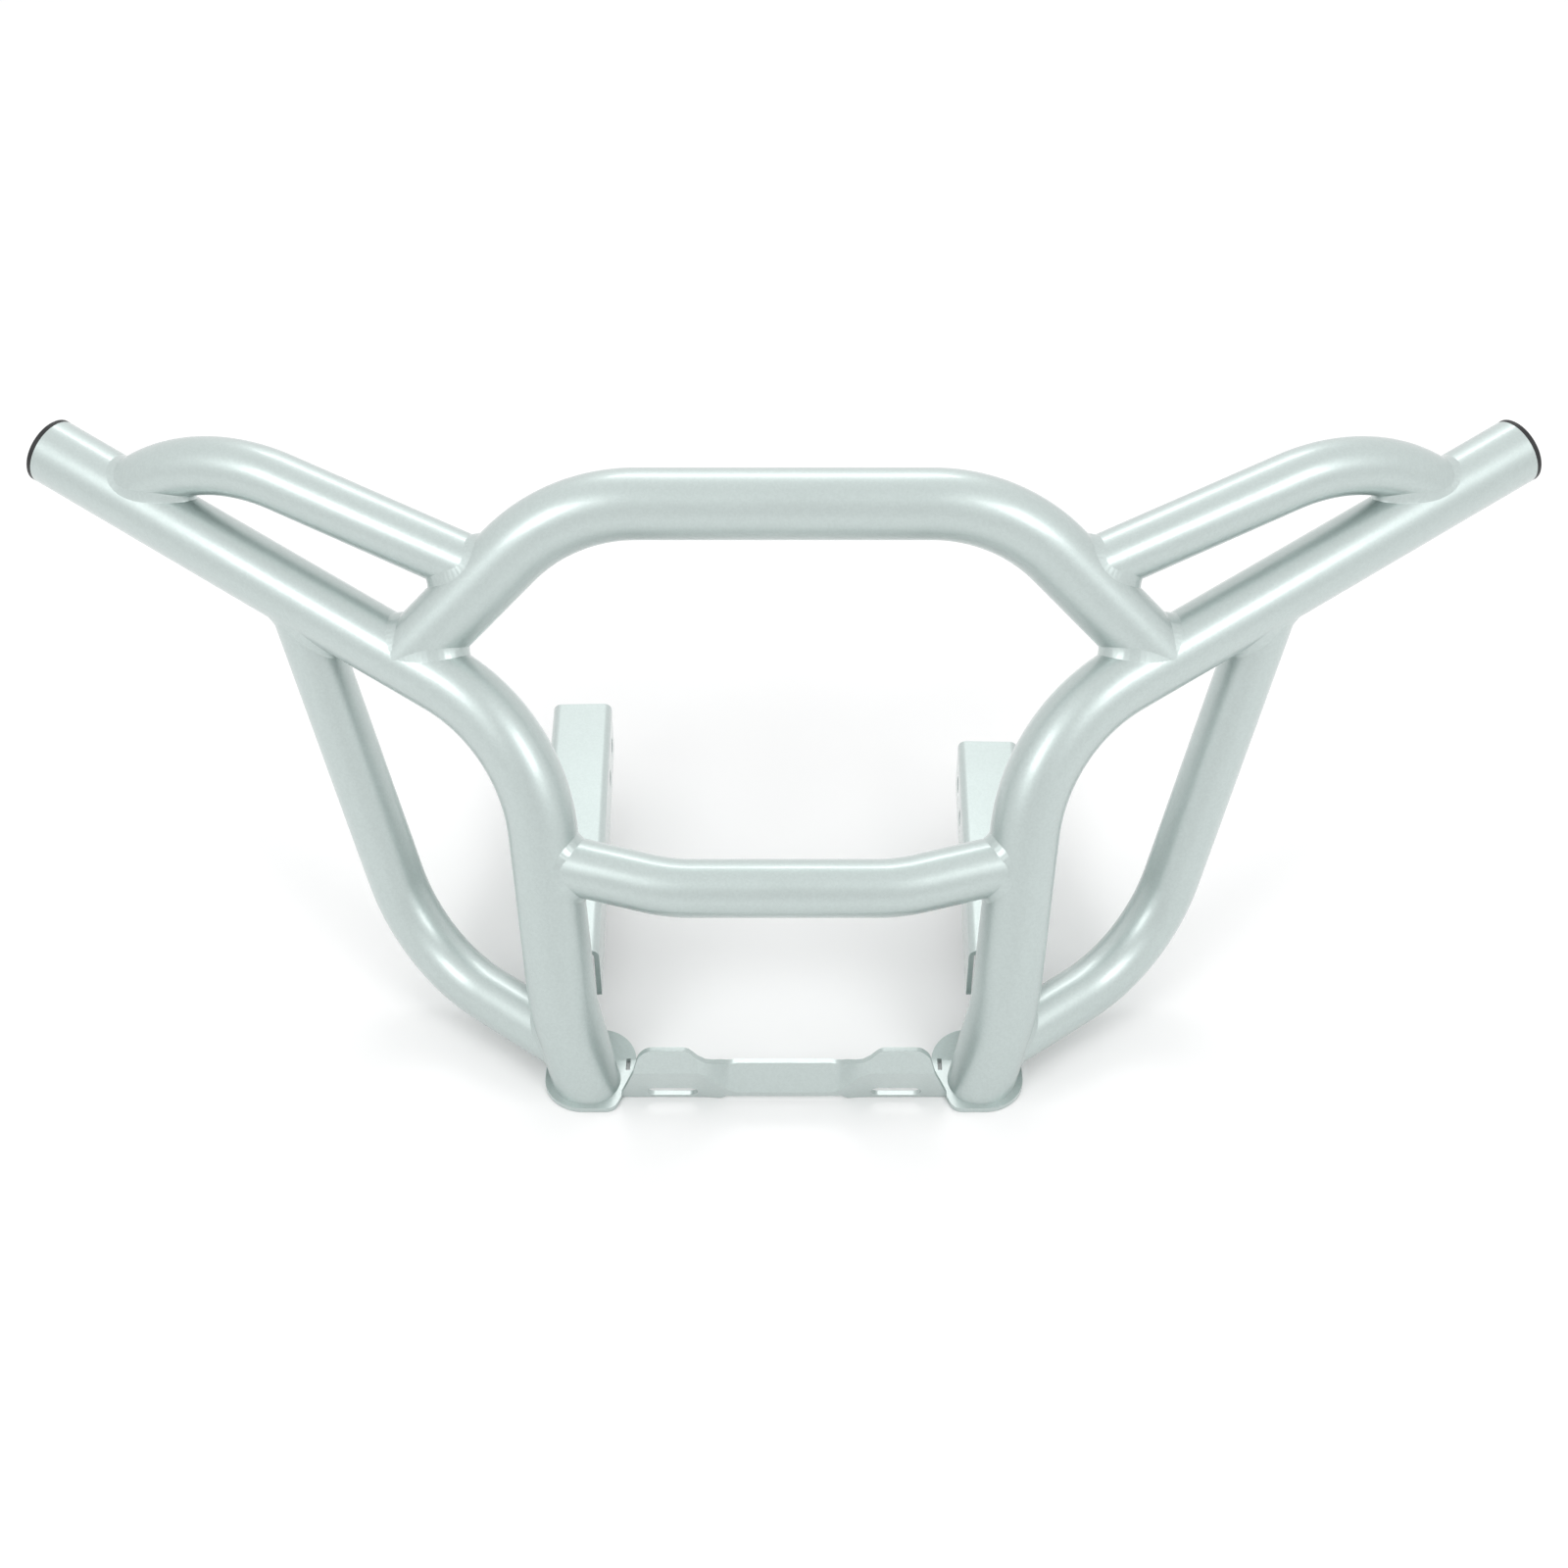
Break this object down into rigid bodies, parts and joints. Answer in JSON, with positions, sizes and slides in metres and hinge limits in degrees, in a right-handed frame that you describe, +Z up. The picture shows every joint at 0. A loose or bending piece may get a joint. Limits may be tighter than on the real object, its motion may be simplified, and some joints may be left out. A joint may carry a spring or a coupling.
{
  "type": "quad bike front bumper",
  "caption": "Bent and welded round-tube front bumper for a quad bike, with swept-back wings, a centre hoop, braces, a slotted bottom bracket and channel support arms.",
  "frame": {"origin": "midway between the two bolt slots of the lower bracket, in the middle of its sheet", "axes": "+X to the right of someone who faces the bumper, +Y to the rear, towards the machine, +Z up"},
  "size_m": [0.847, 0.2853, 0.3179],
  "materials": {
    "silver_powder_coat": "satin metallic silver powder coat over steel",
    "cap_plastic": "black moulded plastic"
  },
  "bodies": {
    "root": {"left_main_tube": "silver_powder_coat", "right_main_tube": "silver_powder_coat", "centre_hoop": "silver_powder_coat", "left_wing_loop": "silver_powder_coat", "right_wing_loop": "silver_powder_coat", "left_outer_brace": "silver_powder_coat", "right_outer_brace": "silver_powder_coat", "cross_bar": "silver_powder_coat", "left_foot_plate": "silver_powder_coat", "right_foot_plate": "silver_powder_coat", "lower_bracket": "silver_powder_coat", "left_support_arm": "silver_powder_coat", "right_support_arm": "silver_powder_coat", "left_end_cap": "cap_plastic", "right_end_cap": "cap_plastic"}
  },
  "joints": []
}
